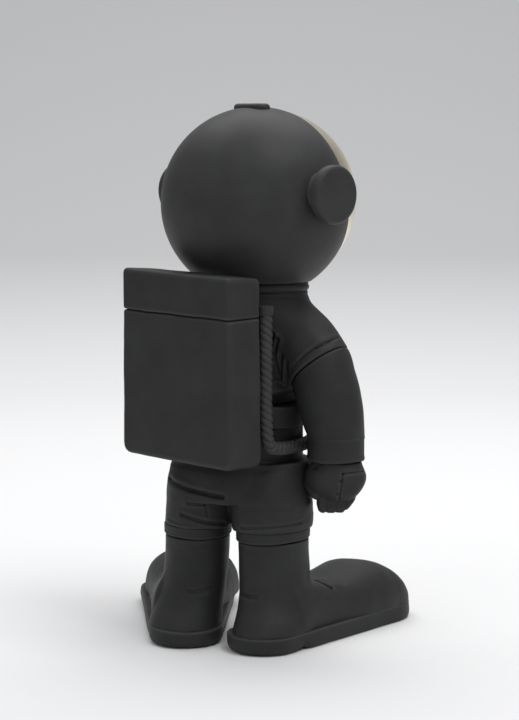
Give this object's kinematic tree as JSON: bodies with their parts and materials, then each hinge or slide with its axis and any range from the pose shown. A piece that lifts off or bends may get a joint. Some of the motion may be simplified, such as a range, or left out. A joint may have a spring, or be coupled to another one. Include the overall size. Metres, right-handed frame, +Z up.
{
  "type": "vinyl art toy",
  "caption": "Matt black toy astronaut with a round mirrored helmet, backpack, twisted hoses and oversized boots, swivelling at neck, waist, arms, wrists and boots.",
  "frame": {"origin": "centre of the bounding box on the plane the soles stand on", "axes": "+Z up, the boots point towards -Y, the figure's right side is -X"},
  "size_m": [0.1556, 0.149, 0.28],
  "materials": {
    "suit_vinyl": "matt black, slightly chalky",
    "helmet_vinyl": "matt black, smooth",
    "pack_vinyl": "matt black, soft bright edges",
    "boot_vinyl": "matt black, faintly burnished",
    "glove_vinyl": "matt black",
    "trim_vinyl": "matt black",
    "hose_vinyl": "matt black twisted cord",
    "peg_plastic": "plain black joint pegs",
    "visor_mirror": "pale gold mirror"
  },
  "bodies": {
    "pelvis": {"trousers": "suit_vinyl", "belt": "suit_vinyl", "waist_peg": "peg_plastic", "hem_band_left": "suit_vinyl", "hem_band_right": "suit_vinyl"},
    "torso": {"torso_shell": "suit_vinyl", "collar_ring": "trim_vinyl", "neck_peg": "peg_plastic", "chest_box": "trim_vinyl", "chest_knob_1": "trim_vinyl", "chest_knob_2": "trim_vinyl", "chest_knob_3": "trim_vinyl", "backpack_shell": "pack_vinyl", "backpack_lid": "pack_vinyl", "backpack_stud_left": "peg_plastic", "backpack_stud_right": "peg_plastic", "hose_left": "hose_vinyl", "hose_right": "hose_vinyl", "hose_ferrule_top_left": "trim_vinyl", "hose_ferrule_top_right": "trim_vinyl", "hose_ferrule_chest_left": "trim_vinyl", "hose_ferrule_chest_right": "trim_vinyl"},
    "head": {"helmet_shell": "helmet_vinyl", "visor": "visor_mirror", "crown_pad": "helmet_vinyl", "ear_base_left": "helmet_vinyl", "ear_base_right": "helmet_vinyl", "ear_disc_left": "helmet_vinyl", "ear_disc_right": "helmet_vinyl"},
    "arm_left": {"sleeve_left": "suit_vinyl", "cuff_left": "suit_vinyl", "shoulder_peg_left": "peg_plastic"},
    "hand_left": {"glove_left": "glove_vinyl", "wrist_peg_left": "peg_plastic"},
    "foot_left": {"boot_left": "boot_vinyl", "sole_left": "boot_vinyl", "boot_peg_left": "peg_plastic"},
    "arm_right": {"sleeve_right": "suit_vinyl", "cuff_right": "suit_vinyl", "shoulder_peg_right": "peg_plastic"},
    "hand_right": {"glove_right": "glove_vinyl", "wrist_peg_right": "peg_plastic"},
    "foot_right": {"boot_right": "boot_vinyl", "sole_right": "boot_vinyl", "boot_peg_right": "peg_plastic"}
  },
  "joints": [
    {"name": "waist_turn", "type": "hinge", "parent": "pelvis", "child": "torso", "pos_m": [-0.00688, 0.01237, 0.1249], "axis": [0, 0, 1], "range_deg": [-10, 55]},
    {"name": "neck_turn", "type": "hinge", "parent": "torso", "child": "head", "pos_m": [-0.01005, 0.00491, 0.1877], "axis": [0, 0, 1], "continuous": true},
    {"name": "arm_left_turn", "type": "hinge", "parent": "torso", "child": "arm_left", "pos_m": [0.02724, -0.01472, 0.1465], "axis": [-0.5258, 0.3493, 0.7756], "continuous": true},
    {"name": "hand_left_turn", "type": "hinge", "parent": "arm_left", "child": "hand_left", "pos_m": [0.03427, -0.02248, 0.0965], "axis": [0, 0, -1], "range_deg": [-12, 30]},
    {"name": "foot_left_turn", "type": "hinge", "parent": "pelvis", "child": "foot_left", "pos_m": [0.01532, 0.02447, 0.0546], "axis": [0, 0, 1], "range_deg": [-10, 7]},
    {"name": "arm_right_turn", "type": "hinge", "parent": "torso", "child": "arm_right", "pos_m": [-0.05008, 0.0181, 0.1465], "axis": [-0.6165, 0.1356, -0.7756], "continuous": true},
    {"name": "hand_right_turn", "type": "hinge", "parent": "arm_right", "child": "hand_right", "pos_m": [-0.06054, 0.01776, 0.0965], "axis": [0, 0, 1], "range_deg": [-12, 30]},
    {"name": "foot_right_turn", "type": "hinge", "parent": "pelvis", "child": "foot_right", "pos_m": [-0.02748, 0.02447, 0.0546], "axis": [0, 0, -1], "range_deg": [-10, 7]}
  ]
}
